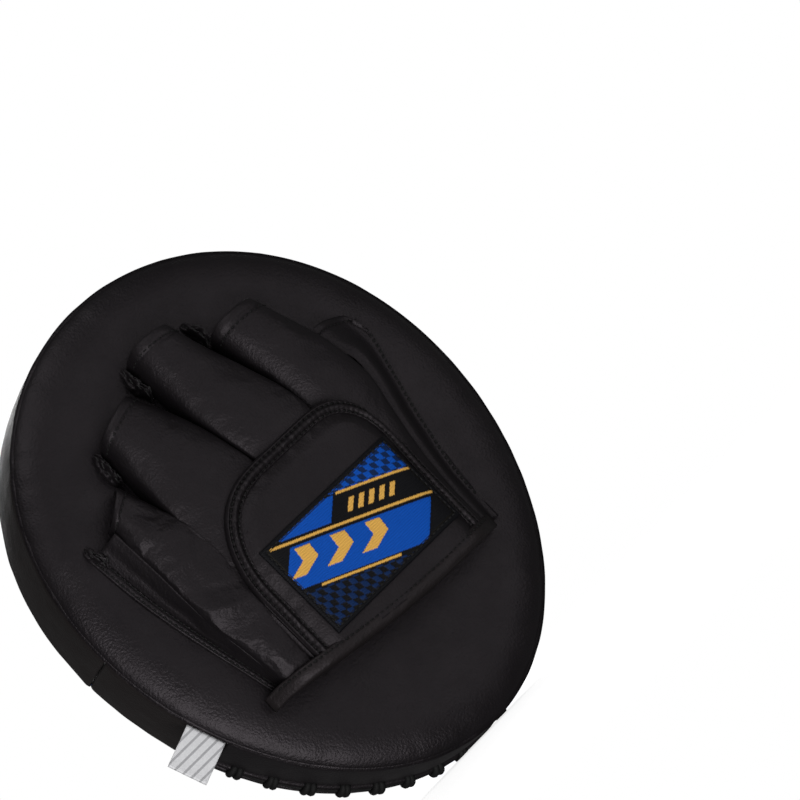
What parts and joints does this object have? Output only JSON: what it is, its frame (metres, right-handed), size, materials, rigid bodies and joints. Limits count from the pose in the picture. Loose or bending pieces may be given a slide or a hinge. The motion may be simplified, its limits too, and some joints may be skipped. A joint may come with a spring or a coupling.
{
  "type": "focus mitt",
  "caption": "Egg-shaped boxing focus mitt with a crowned blue strike face, laced side band and a sewn hand pocket with open finger stalls and a liftable hand cover.",
  "frame": {"origin": "centre of the flat middle of the strike face", "axes": "+Y out of the strike face, +Z towards the fingertips, +X towards the thumb"},
  "size_m": [0.2022, 0.0697, 0.2288],
  "materials": {
    "strike_leather": "gloss",
    "back_leather": "satin",
    "band_leather": "satin",
    "glove_leather": "satin",
    "foam": "matte",
    "lining": "matte",
    "patch_weave": "satin",
    "lace": "matte",
    "label_satin": "satin"
  },
  "bodies": {
    "pad": {"strike_cover": "strike_leather", "back_cover": "back_leather", "side_band_long": "band_leather", "side_band_short": "band_leather", "closure_strip_front": "band_leather", "closure_strip_back": "band_leather", "index_stall": "glove_leather", "middle_stall": "glove_leather", "ring_stall": "glove_leather", "little_stall": "glove_leather", "thumb_stall": "glove_leather", "thumb_web": "glove_leather", "little_side_gusset": "glove_leather", "index_middle_anchor": "glove_leather", "middle_ring_anchor": "glove_leather", "ring_little_anchor": "glove_leather", "little_side_anchor": "glove_leather", "strike_foam": "foam", "core_foam": "foam", "back_foam": "foam", "palm_panel": "lining", "lace_cord": "lace"},
    "hand_cover_flap": {"hand_cover": "glove_leather", "knuckle_overlay": "glove_leather", "dorsal_padding": "foam", "hand_cover_lining": "lining", "wrist_binding": "glove_leather", "woven_patch": "patch_weave"},
    "label": {"care_label": "label_satin"}
  },
  "joints": [
    {"name": "hand_cover_lift", "type": "hinge", "parent": "pad", "child": "hand_cover_flap", "pos_m": [0, -0.0702, 0.0203], "axis": [-1, 0, 0], "range_deg": [0, 12], "stiffness_Nm_per_rad": 0.3},
    {"name": "care_label_flap", "type": "hinge", "parent": "pad", "child": "label", "pos_m": [-0.0874, -0.0415, -0.03988], "axis": [0.3408, 0, -0.9401], "range_deg": [-70, 70], "stiffness_Nm_per_rad": 0.0003}
  ]
}
